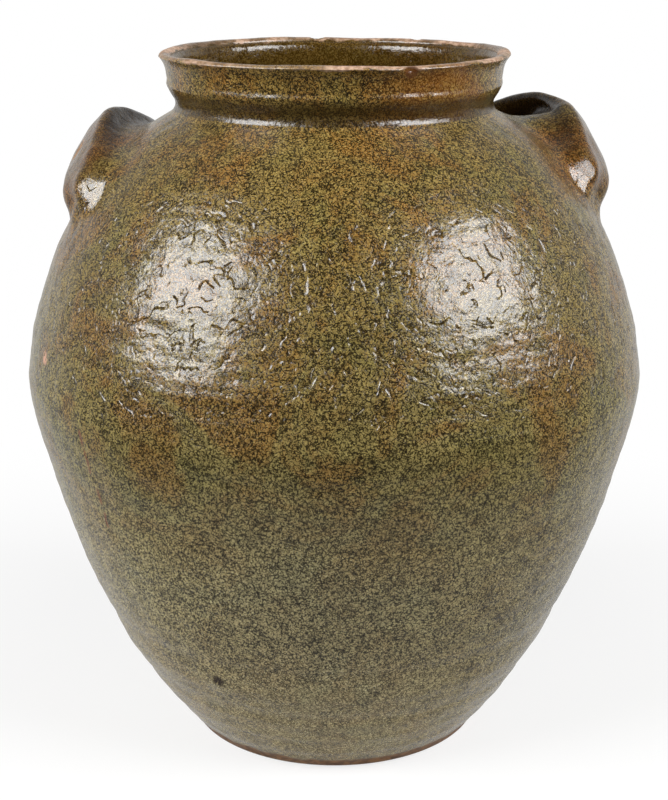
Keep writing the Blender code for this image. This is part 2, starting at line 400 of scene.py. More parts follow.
def strap_line(direction, swing, facing, climb, shorter, far_lean):
    """Places and axes of a strap at each swing; its far half is shorter."""
    curve = shoulder_curve(SHOULDER_STEPS + 1)
    steps = np.arange(SHOULDER_STEPS + 1)
    arch = 1 - swing**2
    row = (ROOT_SHARE + ARCH_SHARE * arch) * SHOULDER_STEPS
    foot, rise = (np.stack([np.interp(row, steps, line[:, k]) for k in (0, 1)], 1)
                  for line in (curve, outward(curve)))
    root_radius = np.interp(ROOT_SHARE * SHOULDER_STEPS, steps, curve[:, 0])
    far = np.clip(-swing * facing, 0, 1)
    turn = math.radians(direction) + HALF_SPAN / root_radius * swing * (1 - shorter * far)
    out = np.stack([np.cos(turn), np.sin(turn)], 1)
    normal = turned(out, rise)
    middle = turned(out, foot) + normal * arched(swing * facing, *climb)[:, None]
    along = unit(np.gradient(middle, axis=0))
    across = unit(np.cross(normal, along))
    face = np.cross(along, across)
    lean = np.radians(NEAR_LEAN + (far_lean - NEAR_LEAN) * smooth(far, 0.0, 0.5)) * arch
    level, tip = np.cos(lean)[:, None], np.sin(lean)[:, None]
    return middle, along, across * level + face * tip, face * level - across * tip, arch


class Strap:
    """One handle's centre line, section sizes and distance field.

    facing is -1 where the root at swing -1 is the one nearer to the picture, else 1. webs gives
    the width over which the strap melts into the wall uphill, and hollow how open it is
    underneath, both from the far root to the near one. A curtain of clay closes the rest of the
    hollow, from the strap's uphill edge (side 1) or its downhill edge (-1)."""

    def __init__(self, direction, facing, climb, shorter, far_lean, width, webs, side, hollow):
        self.swing = -np.cos(np.linspace(0, math.pi, STRAP_RINGS))
        self.middle, self.along, self.uphill, self.face, self.arch = strap_line(
            direction, self.swing, facing, climb, shorter, far_lean)
        flare = (1 - self.arch)**2
        self.half_width = width / 2 + ROOT_WIDE * flare
        self.half_thick = HALF_THICK + ROOT_THICK * flare
        self.thin = PINCH * self.arch
        way = self.swing * facing
        self.web = np.interp(way, (-1, -0.5, 0.0, 0.5, 1), webs)
        self.side = side
        self.hollow = np.interp(way, *hollow)
        self.height = shoulder_gap(self.middle)[0]

    def thinning(self, at, sideways):
        """Share of the thickness left towards the uphill edge, which the potter pinched thin."""
        return 1 - self.thin[at] * smooth(sideways / self.half_width[at], 0, 1)

    def distance(self, points):
        """Signed distance to the strap and its curtain, its direction, and the melting width."""
        at = nearest(points, self.middle)
        step = points - self.middle[at]
        axes = [self.uphill[at], self.face[at], self.along[at]]
        sideways, upward, lengthways = ((step * axis).sum(1) for axis in axes)
        half = self.half_width[at]
        thick = self.half_thick[at] * self.thinning(at, sideways)
        corner = thick * STRAP_CORNER
        slab = bar_gap((sideways, upward, lengthways), half, thick, corner, True)
        hang = half * (1 - self.hollow[at])
        beside = (sideways - self.side * (half - hang), upward, lengthways)
        gap, pull = bar_gap(beside, hang, thick, np.minimum(corner, hang), False)
        curtain = (gap + 0.020 * smooth(self.hollow[at], 0.80, 1.0), pull)
        gap, pull = melted(slab, curtain, CURTAIN_WEB)
        slope = sum(axis * pull[:, k:k + 1] for k, axis in enumerate(axes))
        uphill = smooth(sideways / half, -0.5, 0.5)
        return gap, slope, DOWNHILL_WEB + (self.web[at] - DOWNHILL_WEB) * uphill


def bar_gap(place, half, thick, corner, closed):
    """Signed distance to a rounded bar, open downwards unless closed, and its direction."""
    a, b, t = place
    over = np.stack([np.abs(a) - (half - corner), (np.abs(b) if closed else b) - (thick - corner),
                     np.abs(t) - 0.001], 1)
    sides = np.stack([np.sign(a), np.sign(b) if closed else np.ones(len(b)), np.sign(t)], 1)
    past = np.clip(over, 0, None)
    outside = np.linalg.norm(past, axis=1)
    gap = outside + np.minimum(np.maximum(over[:, 0], over[:, 1]), 0) - corner
    pull = past * sides
    flat = outside < 1e-9
    pull[flat, 0] = (over[flat, 0] >= over[flat, 1]) * sides[flat, 0]
    pull[flat, 1] = (over[flat, 0] < over[flat, 1]) * sides[flat, 1]
    return gap, pull / (np.linalg.norm(pull, axis=1)[:, None] + 1e-12)


def melted(first, second, width):
    """Two forms, each given by distance and direction, run into one over a width."""
    (gap, pull), (other, draw) = first, second
    share = np.clip(1 - np.abs(gap - other) / width, 0, 1)
    own = np.where(gap < other, 1 - share / 2, share / 2)[:, None]
    return np.minimum(gap, other) - share**2 * width / 4, pull * own + draw * (1 - own)


def shoulder_gap(points):
    """Signed distance to the thrown shoulder, and its direction."""
    reach = np.hypot(points[:, 0], points[:, 1])
    flat = np.stack([reach, points[:, 2]], 1)
    at = nearest(flat, SHOULDER)
    gap = ((flat - SHOULDER[at]) * SHOULDER_OUT[at]).sum(1)
    return gap, turned(points[:, :2] / reach[:, None], SHOULDER_OUT[at])


def pressed_on(points, straps):
    """Signed distance to the shoulder with the straps smeared into it, and its direction."""
    wall = shoulder_gap(points)
    for strap in straps:
        gap, slope, width = strap.distance(points)
        wall = melted(wall, (gap, slope), width)
    return wall


def smear(points, straps, keep):
    """Move points out to the smeared surface, by the share that each is to go."""
    longest = 0.006
    moved = points.copy()
    for _ in range(10):
        here, slope = pressed_on(moved, straps)
        size = np.clip((slope**2).sum(1), 0.3, None)
        moved -= slope * (np.clip(here, -longest, longest) / size)[:, None]
    return points + (moved - points) * keep[:, None]


def thumbed(points):
    """Points beyond a thumb's flat go back to it, softly."""
    for middle, facing, level in THUMBS:
        lack = (level - points @ np.array(facing)) / THUMB_SOFTNESS
        kept = np.log1p(np.exp(np.clip(lack, -30, 30)))
        near = np.linalg.norm(points - np.array(middle), axis=1)
        share = smooth(near, THUMB_REACH, THUMB_REACH * 0.7) * THUMB_SOFTNESS
        points = points + np.array(facing) * ((lack - kept) * share)[:, None]
    return points


def pressed_clay(points, straps):
    """Smeared clay pushed in and out as the rest of the wall is, with its lobes and thumb flats."""
    slope = unit(pressed_on(points, straps)[1])
    push = orange_peel(points) + lumps(points, LOBES)
    push += hand_waver(points) * bell(shoulder_gap(points)[0], 0, 0.005)
    return thumbed(points + slope * push[:, None])


def slab_section(half_width, half_thick, hollow, deep):
    """Points round a rounded slab and the curtain under one edge of it, evenly spaced."""
    corner = half_thick * STRAP_CORNER
    line = []
    for quarter, (a, b) in enumerate(((1, 1), (-1, 1), (-1, -1))):
        for i in range(9):
            angle = math.pi / 2 * (quarter + i / 8)
            line.append((a * (half_width - corner) + corner * math.cos(angle),
                         b * (half_thick - corner) + corner * math.sin(angle)))
    inner = half_width * (2 * hollow - 1)
    line = [p for p in line if p[1] >= 0 or p[0] < inner]
    inner = max(inner, -half_width)
    foot = -half_thick - (deep - half_thick) * min(1, (1 - hollow) / 0.2)
    line += [(inner, -half_thick * 0.99), (inner, foot), (half_width, foot), (half_width, 0)]
    line.append(line[0])
    return even(line, STRAP_ROUND + 1)[:-1]


def make_strap(name, strap, straps):
    """A cylinder cut into rings, its rings laid along the strap and smeared into the shoulder."""
    deselect_all()
    bpy.ops.mesh.primitive_cylinder_add(vertices=STRAP_ROUND, radius=1, depth=2,
                                        end_fill_type="NGON")
    piece = bpy.context.object
    piece.name = name
    select_edges(piece, lambda a, b: abs(a.z - b.z) > 1)
    bpy.ops.mesh.subdivide(number_cuts=STRAP_RINGS - 2)
    leave_edges()
    x, y, z = places(piece).T
    ring = np.rint((z + 1) / 2 * (STRAP_RINGS - 1)).astype(int)
    around = np.rint(np.arctan2(y, x) / (2 * math.pi) * STRAP_ROUND).astype(int) % STRAP_ROUND
    deep = np.maximum(strap.height + 0.016, strap.half_thick * 1.01)
    sections = np.array([slab_section(*sizes) for sizes in
                         zip(strap.half_width, strap.half_thick, strap.hollow, deep)])
    flat = sections[ring, around] * (strap.side, 1)
    slab = flat[:, 1] > -strap.half_thick[ring]
    flat[:, 1] *= np.where(slab, strap.thinning(ring, flat[:, 0]), 1)
    points = strap.middle[ring] + strap.uphill[ring] * flat[:, :1] + strap.face[ring] * flat[:, 1:]
    # What is buried in the wall stays a little under its skin, and isn't smeared
    wall, slope = shoulder_gap(points)
    points += slope * np.clip(-0.0070 - wall, 0, None)[:, None]
    points = smear(points, straps, smooth(wall, -0.0065, -0.0045))
    put(piece, bitten(pressed_clay(points, straps), KNOCK, KNOCK_RADIUS))
    painted(piece, "crest", smooth(shoulder_gap(points)[0], 0.0010, 0.0080))
    # Painted shade on the strap's underside over its hollow, for the glaze to darken
    inner = smooth(flat[:, 1] / strap.half_thick[ring], 0.1, -0.8)
    inner = inner * smooth(flat[:, 0] / strap.half_width[ring], 1.0, 0.6)
    painted(piece, "painted_shade", inner * smooth(strap.hollow[ring], 0.02, 0.40))
    face_outwards()
    bpy.ops.object.shade_smooth()
    return piece


# Walls and collar

def round_jar(direction, radius, height):
    """A place given by its direction in degrees, its radius and its height."""
    turn = math.radians(direction)
    return np.array([radius * math.cos(turn), radius * math.sin(turn), height])


# Chips out of the lip: middle of the ball that took each, and its radius
CHIPS = ((round_jar(96.3, LIP_RADIUS - LIP_THICKNESS / 2, JAR_HEIGHT + 0.0049), 0.0070),
         (round_jar(59.0, LIP_RADIUS - LIP_THICKNESS / 2, JAR_HEIGHT + 0.0043), 0.0060),
         (round_jar(-66.7, LIP_RADIUS + 0.0052, JAR_HEIGHT - 0.0030), 0.0070))


def make_lower_wall():
    """Foot, floor and wall up to the belly."""
    outer = lower_line(OUTER_ROWS)
    inner = lower_line(INNER_ROWS + 4)
    inner = (inner - outward(inner) * LOWER_WALL)[2:]
    inner[-1] = JOINT_INSIDE
    corner = inner[0][0]
    floor = [(0, FLOOR_HEIGHT), (0.030, FLOOR_HEIGHT), (0.060, FLOOR_HEIGHT),
             (corner - 0.016, FLOOR_HEIGHT), (corner - 0.006, FLOOR_HEIGHT + 0.004)]
    heel = [(FOOT_RADIUS - HEEL_CHAMFER * 0.3, HEEL_CHAMFER * 0.3),
            (FOOT_RADIUS - HEEL_CHAMFER, 0), (0.060, 0), (0.030, 0), (0, 0)]
    inside = [p for p in inner if p[1] > FLOOR_HEIGHT + 0.008]
    outline = [*floor, *inside, JOINT_MIDDLE, *outer[::-1], *heel]
    piece = spin_outline("lower_wall", outline, on_axis=True)
    weather(piece, outer, WALL_LUMPS)
    crisp(piece)
    return piece


def make_shoulder_wall(straps):
    """Wall from the belly to the neck, pulled out to the straps that are pressed on it."""
    outer = shoulder_line(CURVE_POINTS)
    fillet, _ = neck_fillet(outer, waist_line())
    outer = even(np.vstack([outer[outer[:, 0] > fillet[0][0]], fillet]), OUTER_ROWS)
    inner = shoulder_line(INNER_ROWS)
    inner = inner - outward(inner) * SHOULDER_WALL
    inner[0] = JOINT_INSIDE
    inner = inner[inner[:, 0] > THROAT_RADIUS + 0.004]
    outline = [*outer, THROAT, (THROAT_RADIUS, NECK_HEIGHT - 0.005), *inner[::-1], JOINT_MIDDLE]
    piece = spin_outline("shoulder_wall", outline)
    thrown = places(piece)
    rows, spun = spun_from(thrown, outer)
    skin = np.flatnonzero(spun)
    slab = np.full(len(skin), 1.0)
    hollow = np.full(len(skin), 1.0)
    for strap in straps:
        gap = strap.distance(thrown[skin])[0]
        closer = gap < slab
        slab[closer] = gap[closer]
        hollow[closer] = strap.hollow[nearest(thrown[skin][closer], strap.middle)]
    near = slab < SMEAR_REACH
    skin, slab, hollow = skin[near], slab[near], hollow[near]
    weather(piece, outer, calm_rows=CALM_ROWS)
    worn = places(piece)
    smeared = pressed_clay(smear(thrown[skin], straps, smooth(slab, -0.0090, -0.0060)), straps)
    calm = np.clip((OUTER_ROWS - 1 - rows[skin]) / CALM_ROWS, 0, 1)
    blend = (smooth(slab, SMEAR_REACH, 0.050) * calm)[:, None]
    worn[skin] = worn[skin] * (1 - blend) + smeared * blend
    put(piece, worn)
    # Painted shade on the shoulder under the straps' hollows
    shade = np.zeros(len(thrown))
    shade[skin] = smooth(slab, 0.016, 0.003) * hollow
    painted(piece, "painted_shade", shade)
    crisp(piece)
    return piece


def make_collar():
    """Collar with its bulge, flared lip and bore; the lip is wavy, worn and chipped."""
    waist = waist_line()
    _, fillet = neck_fillet(shoulder_line(CURVE_POINTS), waist)
    waist = np.vstack([fillet, waist[waist[:, 1] > fillet[-1][1] + 0.0002]])
    third = (LIP_EDGE - BULGE_HEIGHT) / 3
    flare = bezier((BULGE_RADIUS, BULGE_HEIGHT), (BULGE_RADIUS, BULGE_HEIGHT + third),
                   (BULGE_RADIUS, LIP_EDGE - third), (LIP_RADIUS, LIP_EDGE), 40)
    outer = even(np.vstack([waist, flare[1:]]), COLLAR_ROWS)
    lip = bezier((LIP_RADIUS, LIP_EDGE), (LIP_RADIUS - 0.0001, JAR_HEIGHT + 0.0006),
                 (LIP_INSIDE[0], JAR_HEIGHT + 0.0004), LIP_INSIDE, 14)
    wall = BULGE_RADIUS - COLLAR_WALL
    upper = bezier(LIP_INSIDE, (wall + 0.0004, JAR_HEIGHT - 0.0030),
                   (wall + 0.0004, JAR_HEIGHT - 0.0062), (wall + 0.0020, JAR_HEIGHT - 0.0160), 100)
    lower = bezier(upper[-1], (wall + 0.0028, JAR_HEIGHT - 0.0220),
                   (THROAT_RADIUS + 0.0040, NECK_HEIGHT + 0.0030), THROAT, 100)
    bore = even(np.vstack([upper, lower[1:]]), 34)
    skin_line = np.vstack([outer, lip[1:], bore[1:]])
    piece = spin_outline("collar", [*skin_line, ((THROAT_RADIUS + NECK_RADIUS) / 2, NECK_HEIGHT)])
    points = places(piece)
    rows, skin = spun_from(points, skin_line)
    height = points[:, 2]
    turn = np.arctan2(points[:, 1], points[:, 0])
    tooled = 0.0002 * bell(height, BULGE_HEIGHT - 0.0015, 0.0012)
    tooled -= 0.0002 * bell(height, BULGE_HEIGHT + 0.0015, 0.0014)
    push = orange_peel(points) * 0.7 + tooled * (rows < COLLAR_ROWS)
    push *= np.clip(np.minimum(rows, len(skin_line) - 1 - rows) / 4, 0, 1) * skin
    out = np.stack([np.cos(turn), np.sin(turn)], 1)
    points = points + turned(out, outward(skin_line)[rows]) * push[:, None]
    waver = 0.0004 * np.sin(turn * 3 + 1.0) + 0.00018 * np.sin(turn * 7 + 0.4)
    waver += 0.00006 * np.sin(turn * 17)
    points[:, 2] += waver * np.clip((points[:, 2] - (JAR_HEIGHT - 0.010)) / 0.010, 0, 1)
    for ball, radius in CHIPS:
        points = bitten(points, ball, radius)
    put(piece, points)
    crisp(piece)
    return piece


# Finishes

def srgb(red, green, blue):
    """A colour given as 0 to 255, in Blender's own measure."""
    return tuple(((c / 255 + 0.055) / 1.055)**2.4 for c in (red, green, blue))


# Ash glaze: ground colour from the foot to the lip, and what lies in and on it, each with the
# colour of the dry lower glaze after it where that differs
GROUND = ((0.02, (148, 133, 98)), (0.34, (164, 150, 106)), (0.52, (142, 128, 78)),
          (0.74, (128, 107, 56)), (0.90, (138, 114, 60)), (1.0, (146, 116, 56)))
OLIVE, DRY_OLIVE = srgb(108, 108, 56), srgb(150, 146, 108)
STRAW, DRY_STRAW = srgb(182, 166, 104), srgb(206, 196, 144)
AMBER = srgb(138, 88, 32)
# Painted shade for the lower right side
LOW_RIGHT_SHADE = srgb(92, 78, 46)
BURNT_SPECK = srgb(26, 20, 7)
OPEN_HOLE = srgb(22, 16, 8)
WINDING_PIT = srgb(66, 46, 18)
# Painted shade for the hollows under the handles
SHADE_UNDER_HANDLE = srgb(22, 15, 6)

# Foot, and the marks on the walls
CLAY_RING = (srgb(98, 66, 36), srgb(130, 92, 54))
KILN_CRUMB = srgb(38, 24, 12)
SCRATCH = srgb(112, 62, 38)
PINHOLE = srgb(16, 10, 5)
PALE_SCAR = srgb(196, 150, 126)

# Handles
BROWN_COAT = srgb(66, 42, 14)
KNOCKED_CLAY = srgb(176, 140, 110)

# Collar
LIP_CLAY = (srgb(150, 114, 88), srgb(204, 172, 146))
WARM_PATCH = srgb(140, 78, 20)
# Painted shade for the collar's root
ROOT_SHADE = srgb(40, 27, 7)
INSIDE_GLAZE = srgb(60, 40, 3)
CHIPPED_CLAY = srgb(96, 56, 26)

# Middles of the amber patches at the handles' near ends, and their radius
AMBER_ENDS = ((-0.128, -0.018, 0.324), (0.128, -0.012, 0.326))
AMBER_REACH = 0.046

# Pinholes burst through the glaze of the shoulder
PINHOLES = ((-0.1076, -0.1277, 0.2230), (0.1102, -0.0596, 0.3175), (0.1123, -0.0646, 0.3123),
            (0.0961, -0.0595, 0.3297))


class Term:
    """A value that changes over the surface; sums on it add their Math nodes."""

    def __init__(self, tree, socket):
        self.tree = tree
        self.socket = socket

    def sum(self, operation, *others):
        way = {"operation": operation}
        return Term(self.tree, self.tree.by_place("ShaderNodeMath", way, *others))

    def __add__(self, other):
        return self.sum("ADD", self, other)

    __radd__ = __add__

    def __sub__(self, other):
        return self.sum("SUBTRACT", self, other)

    def __rsub__(self, other):
        return self.sum("SUBTRACT", other, self)

    def __mul__(self, other):
        return self.sum("MULTIPLY", self, other)

    __rmul__ = __mul__

    def __truediv__(self, other):
        return self.sum("DIVIDE", self, other)

    def __pow__(self, other):
        return self.sum("POWER", self, other)

    def __abs__(self):
        return self.sum("ABSOLUTE", self)

    def least(self, other):
        return self.sum("MINIMUM", self, other)

    def most(self, other):
        return self.sum("MAXIMUM", self, other)

    def within(self):
        """Held between 0 and 1."""
        return self.most(0).least(1)


class Tree:
    """A node tree under construction, for a finish or for the studio's light."""

    def __init__(self, tree):
        self.tree = tree

    def feed(self, socket, value):
        """Link a value to a socket, or set it there."""
        if isinstance(value, Term):
            value = value.socket
        if isinstance(value, bpy.types.NodeSocket):
            self.tree.links.new(value, socket)
        elif hasattr(value, "__len__") and len(value) == 3 and socket.type == "RGBA":
            socket.default_value = (*value, 1)
        else:
            socket.default_value = value

    def node(self, kind, settings=None, **sockets):
        """A node with its settings, and its sockets fed by name."""
        node = self.tree.nodes.new(kind)
        for key, value in (settings or {}).items():
            setattr(node, key, value)
        for key, value in sockets.items():
            self.feed(node.inputs[key.replace("_", " ")], value)
        return node

    def by_place(self, kind, settings, *values):
        """First output of a node whose sockets are fed in their order."""
        node = self.node(kind, settings)
        for socket, value in zip(node.inputs, values):
            self.feed(socket, value)
        return node.outputs[0]

    def parts(self, vector):
        """A vector's three numbers."""
        node = self.node("ShaderNodeSeparateXYZ", Vector=vector)
        return (Term(self, socket) for socket in node.outputs)

    def ray(self, kind):
        """1 for the rays of one kind."""
        return Term(self, self.node("ShaderNodeLightPath").outputs[kind])

    def step(self, value, low, high):
        """0 below low, 1 above high, smooth between; reversed where low is above high."""
        ends = (high, low, 1, 0) if low > high else (low, high, 0, 1)
        eased = {"interpolation_type": "SMOOTHSTEP"}
        return Term(self, self.by_place("ShaderNodeMapRange", eased, value, *ends))


class Paint(Tree):
    """One ceramic finish under construction."""

    def __init__(self, name):
        self.material = bpy.data.materials.new(name)
        self.material.use_nodes = True
        super().__init__(self.material.node_tree)
        self.shader = self.tree.nodes["Principled BSDF"]
        self.place = self.node("ShaderNodeTexCoord").outputs["Object"]
        self.x, self.y, self.z = self.parts(self.place)

    def radius(self):
        """Distance from the jar's axis."""
        return (self.x * self.x + self.y * self.y)**0.5

    def cloud(self, scale, detail=3, roughness=0.55, distortion=0):
        """Soft noise round 0.5."""
        node = self.node("ShaderNodeTexNoise", Vector=self.place, Scale=scale, Detail=detail,
                         Roughness=roughness, Distortion=distortion)
        return Term(self, node.outputs["Fac"])

    def cells(self, scale, feature="F1", where=None):
        """Distance to a cell's middle, or to its edge."""
        node = self.node("ShaderNodeTexVoronoi", {"feature": feature}, Vector=where or self.place,
                         Scale=scale)
        return Term(self, node.outputs["Distance"])

    def shifted(self, amount, scale):
        """Object coordinates pushed about by a noise, so that cells lose their straight sides."""
        noisy = self.node("ShaderNodeTexNoise", Vector=self.place, Scale=scale, Detail=2)
        push = self.vector("SUBTRACT", noisy.outputs["Color"], (0.5, 0.5, 0.5))
        push = self.vector("MULTIPLY", push, (amount, amount, amount))
        return self.vector("ADD", self.place, push)

    def vector(self, operation, first, second):
        return self.by_place("ShaderNodeVectorMath", {"operation": operation}, first, second)

    def share(self, name):
        """What was painted on the piece under a name."""
        return Term(self, self.node("ShaderNodeAttribute", {"attribute_name": name}).outputs["Fac"])

    def ramp(self, value, stops):
        """Colours, as 0 to 255, along a value."""
        node = self.node("ShaderNodeValToRGB", Fac=value)
        line = node.color_ramp
        for place, _ in stops[2:]:
            line.elements.new(place)
        for stop, (place, colour) in zip(line.elements, stops):
            stop.position = place
            stop.color = (*srgb(*colour), 1)
        return node.outputs[0]

    def mix(self, share, first, second):
        """One colour over another by a share."""
        node = self.node("ShaderNodeMix", {"data_type": "RGBA"})
        self.feed(node.inputs[0], share)
        self.feed(node.inputs[6], first)
        self.feed(node.inputs[7], second)
        return node.outputs[2]

    def layered(self, share, under, over):
        """One shader over another by a share."""
        return self.by_place("ShaderNodeMixShader", {}, share, under, over)

    def ball(self, place, radius, soft=0.5):
        """1 within a share of a ball's radius, falling to 0 at the radius."""
        x, y, z = place
        square = (self.x - x)**2 + (self.y - y)**2 + (self.z - z)**2
        return self.step(square**0.5, radius, radius * soft)


def glaze_ground(p, height, dry):
    """The melted glaze before its specks: olive, amber patches, and a darker, browner painted shade
    low on the right.
    """
    ground = p.ramp(height / JAR_HEIGHT, GROUND)
    cool = p.step(p.cloud(26, 4, 0.6), 0.50, 0.66)
    colour = p.mix(cool * 0.40, ground, p.mix(dry, OLIVE, DRY_OLIVE))
    patch = p.step(p.cloud(21, 5, 0.66, distortion=0.8), 0.455, 0.60) * (0.58 - 0.44 * dry)
    left, right = (p.ball(place, AMBER_REACH, 0.2) for place in AMBER_ENDS)
    patch = patch + (left + right) * p.step(p.cloud(45, 4, 0.65), 0.30, 0.62) * 0.6
    colour = p.mix(patch.within(), colour, AMBER)
    # Painted shade low on the right side of the jar
    right_shade_share = p.step(p.x, 0.01, 0.12) * p.step(height, 0.220, 0.120)
    return p.mix(right_shade_share * 0.42, colour, LOW_RIGHT_SHADE)


def ash_glaze(name, marks):
    """Runny wood-ash glaze: olive and amber pools, greyer and drier low on the jar, fine crackle.

    marks gets the colour and roughness, and gives them back with what only one piece shows."""
    p = Paint(name)
    height = p.z + (p.cloud(14, 4, 0.6) - 0.5) * 0.05
    dry = p.step(height, 0.225, 0.130)
    colour = glaze_ground(p, height, dry)

    # Straw-coloured grains, and burnt specks that run into short lines, thinner at the foot
    grain = p.cloud(1500, 2, 0.6)
    light = p.step(grain, 0.54, 0.64)
    dark = p.step(abs(p.cloud(480, 2, 0.6) - 0.5), 0.060, 0.032).most(p.step(grain, 0.43, 0.38))
    colour = p.mix(light * 0.55, colour, p.mix(dry, STRAW, DRY_STRAW))
    foot = p.step(height, 0.100, 0.030)
    colour = p.mix(dark * (0.92 - foot * 0.22), colour, BURNT_SPECK)

    # Crackle, fine and coarse, and small open holes
    crack = p.cells(480, "DISTANCE_TO_EDGE", p.shifted(0.0026, 380))
    crack = p.step(crack, 0.13, 0.02) * p.step(p.cloud(180, 2, 0.5), 0.40, 0.55)
    net = p.cells(290, "DISTANCE_TO_EDGE", p.shifted(0.0040, 260))
    net = p.step(net, 0.085, 0.02) * p.step(p.cloud(110, 2, 0.5), 0.46, 0.60)
    colour = p.mix((crack * 0.35).most(net * 0.75), colour, BURNT_SPECK)
    hole = p.step(p.cells(46), 0.030, 0.018) * p.step(p.cloud(20, 2), 0.50, 0.56)
    colour = p.mix(hole, colour, OPEN_HOLE)

    # Winding pits, on the shoulder alone and off the handles' crests
    pit = (1 - abs(p.cloud(112, 1, 0.5, distortion=0.4) - 0.5) * 21).within()
    pit = pit * p.step(p.cloud(110, 2, 0.5), 0.47, 0.60)
    pit = pit * p.step(height, 0.212, 0.232) * p.step(height, 0.325, 0.305)
    pit = pit * (1 - p.share("crest")).within()
    colour = p.mix(pit * 0.36, colour, WINDING_PIT)

    # Relief in metres
    relief = p.cloud(130, 3, 0.55) * 0.00062 - pit * 0.00036 + p.cloud(430, 2, 0.5) * 0.00014
    relief = relief - crack * 0.00001 - net * 0.00002 - dark * 0.00002 - hole * 0.0004
    bump = p.node("ShaderNodeBump", Strength=1.0, Distance=1.0, Height=relief)

    # Painted shade in the hollows under the handles
    colour = p.mix(p.share("painted_shade") * 0.85, colour, SHADE_UNDER_HANDLE)
    rough = 0.185 + dry * 0.06 + light * 0.03 + (p.cloud(40, 3) - 0.5) * 0.10
    colour, rough = marks(p, colour, rough)
    p.feed(p.shader.inputs["Base Color"], colour)
    p.feed(p.shader.inputs["Roughness"], rough)
    p.feed(p.shader.inputs["Normal"], bump.outputs[0])
    p.shader.inputs["IOR"].default_value = 1.60
    return p.material


def foot_marks(p, colour, rough):
    """The toasted clay ring that the glaze stops short of, a crumb of kiln dirt and a scratch."""
    bare = p.step(p.z + (p.cloud(60, 3) - 0.5) * 0.007, 0.0072, 0.0045)
    clay = p.mix(p.step(p.cloud(300, 3), 0.4, 0.6), *CLAY_RING)
    crumb = p.ball((-0.0609, -0.1108, 0.0662), 0.0050, 0.3)
    colour = p.mix(bare, colour, clay)
    colour = p.mix(crumb * p.step(p.cloud(400, 3), 0.35, 0.48), colour, KILN_CRUMB)
    scratch = drawn_line(p, (-0.1144, 0.1492), (-0.1280, 0.2080))
    return p.mix(scratch, colour, SCRATCH), rough + bare * 0.35


def drawn_line(p, low, high):
    """A thin broken scratch in front of the jar between two places given as (x, z)."""
    (x0, z0), (x1, z1) = low, high
    off = p.x - x0 - (p.z - z0) * ((x1 - x0) / (z1 - z0)) + (p.cloud(70, 3) - 0.5) * 0.004
    line = p.step(abs(off), 0.0011, 0.0003) * p.step(p.cloud(120, 3), 0.42, 0.58)
    line = line * p.step(p.z, z0 - 0.002, z0) * p.step(p.z, z1 + 0.002, z1)
    return line * p.step(p.y, -0.02, -0.04) * 0.75


def shoulder_marks(p, colour, rough):
    """Pinholes burst through the glaze, and the pale scar low on the left."""
    for place in PINHOLES:
        colour = p.mix(p.ball(place, 0.0018, 0.3), colour, PINHOLE)
    scar = p.ball((-0.1493, -0.0716, 0.2304), 0.0050, 0.3) * p.step(p.cloud(300, 3), 0.36, 0.52)
    return p.mix(scar, colour, PALE_SCAR), rough + scar * 0.3


def handle_marks(p, colour, rough):
    """Handles took a darker, browner coat; bare clay shows where the left one was knocked."""
    p.shader.inputs["Specular IOR Level"].default_value = 0.34
    colour = p.mix(p.share("crest") * 0.40, colour, BROWN_COAT)
    knock = p.ball(KNOCK, KNOCK_RADIUS + 0.0010, 0.88) * p.step(p.cloud(350, 3), 0.38, 0.54)
    return p.mix(knock * 0.8, colour, KNOCKED_CLAY), rough - 0.05 + knock * 0.3


def lip_marks(p, colour, rough):
    """Bare pink clay on the worn lip, painted shade round the collar's root, and dark glaze inside.
    """
    worn = p.step(p.z + (p.cloud(90, 4, 0.6) - 0.5) * 0.0060, 0.3776, 0.3790)
    worn = worn * (p.step(p.cloud(26, 3, 0.6), 0.44, 0.58) * 0.75 + 0.25)
    rim = p.mix(p.step(p.cloud(420, 4, 0.65), 0.38, 0.62), *LIP_CLAY)
    radius = p.radius()
    inside = p.step(radius + (p.z - NECK_HEIGHT) * -0.33, 0.0815, 0.0805)
    # Painted shade round the collar below its bulge, where it faces down
    painted_shade = p.step(p.z + (p.cloud(55, 3) - 0.5) * 0.004, 0.3640, 0.3590)
    painted_shade = painted_shade * p.step(radius, 0.080, 0.083)
    warm = p.ball((0.058, -0.070, 0.366), 0.052, 0.1) * p.step(p.cloud(45, 4, 0.6), 0.36, 0.60)
    colour = p.mix(warm * 0.34, colour, WARM_PATCH)
    colour = p.mix(painted_shade * 0.66, colour, ROOT_SHADE)
    colour = p.mix(inside * 0.72, colour, INSIDE_GLAZE)
    colour = p.mix(worn, colour, rim)
    chip = p.ball((0.0373, -0.0838, 0.3768), 0.0040, 0.75)
    return p.mix(chip * 0.75, colour, CHIPPED_CLAY), rough + worn * 0.35 - inside * 0.08


def make_glazes():
    """The four finishes, under the names of the slots that they fill."""
    return {"lower_glaze": ash_glaze("lower_ash_glaze", foot_marks),
            "shoulder_glaze": ash_glaze("shoulder_ash_glaze", shoulder_marks),
            "collar_glaze": ash_glaze("collar_ash_glaze", lip_marks),
            "handle_glaze": ash_glaze("handle_ash_glaze", handle_marks)}


# Studio: floor in metres, softboxes round the middle of the jar, and the camera
FLOOR_RADIUS = 0.62
FLOOR_GREY = (0.88, 0.88, 0.88)
LIT_MIDDLE = (0, 0, 0.24)
LAMP_DISTANCE = 1.6
LAMP_WIDE = 1.08
LAMP_HIGH = 0.84
FOCAL_PIXELS = 1606.6
PICTURE_HEIGHT = 800
SENSOR = 36
CAMERA_PLACE = (0, -0.8694, 0.4541)
CAMERA_DIP = 17.16


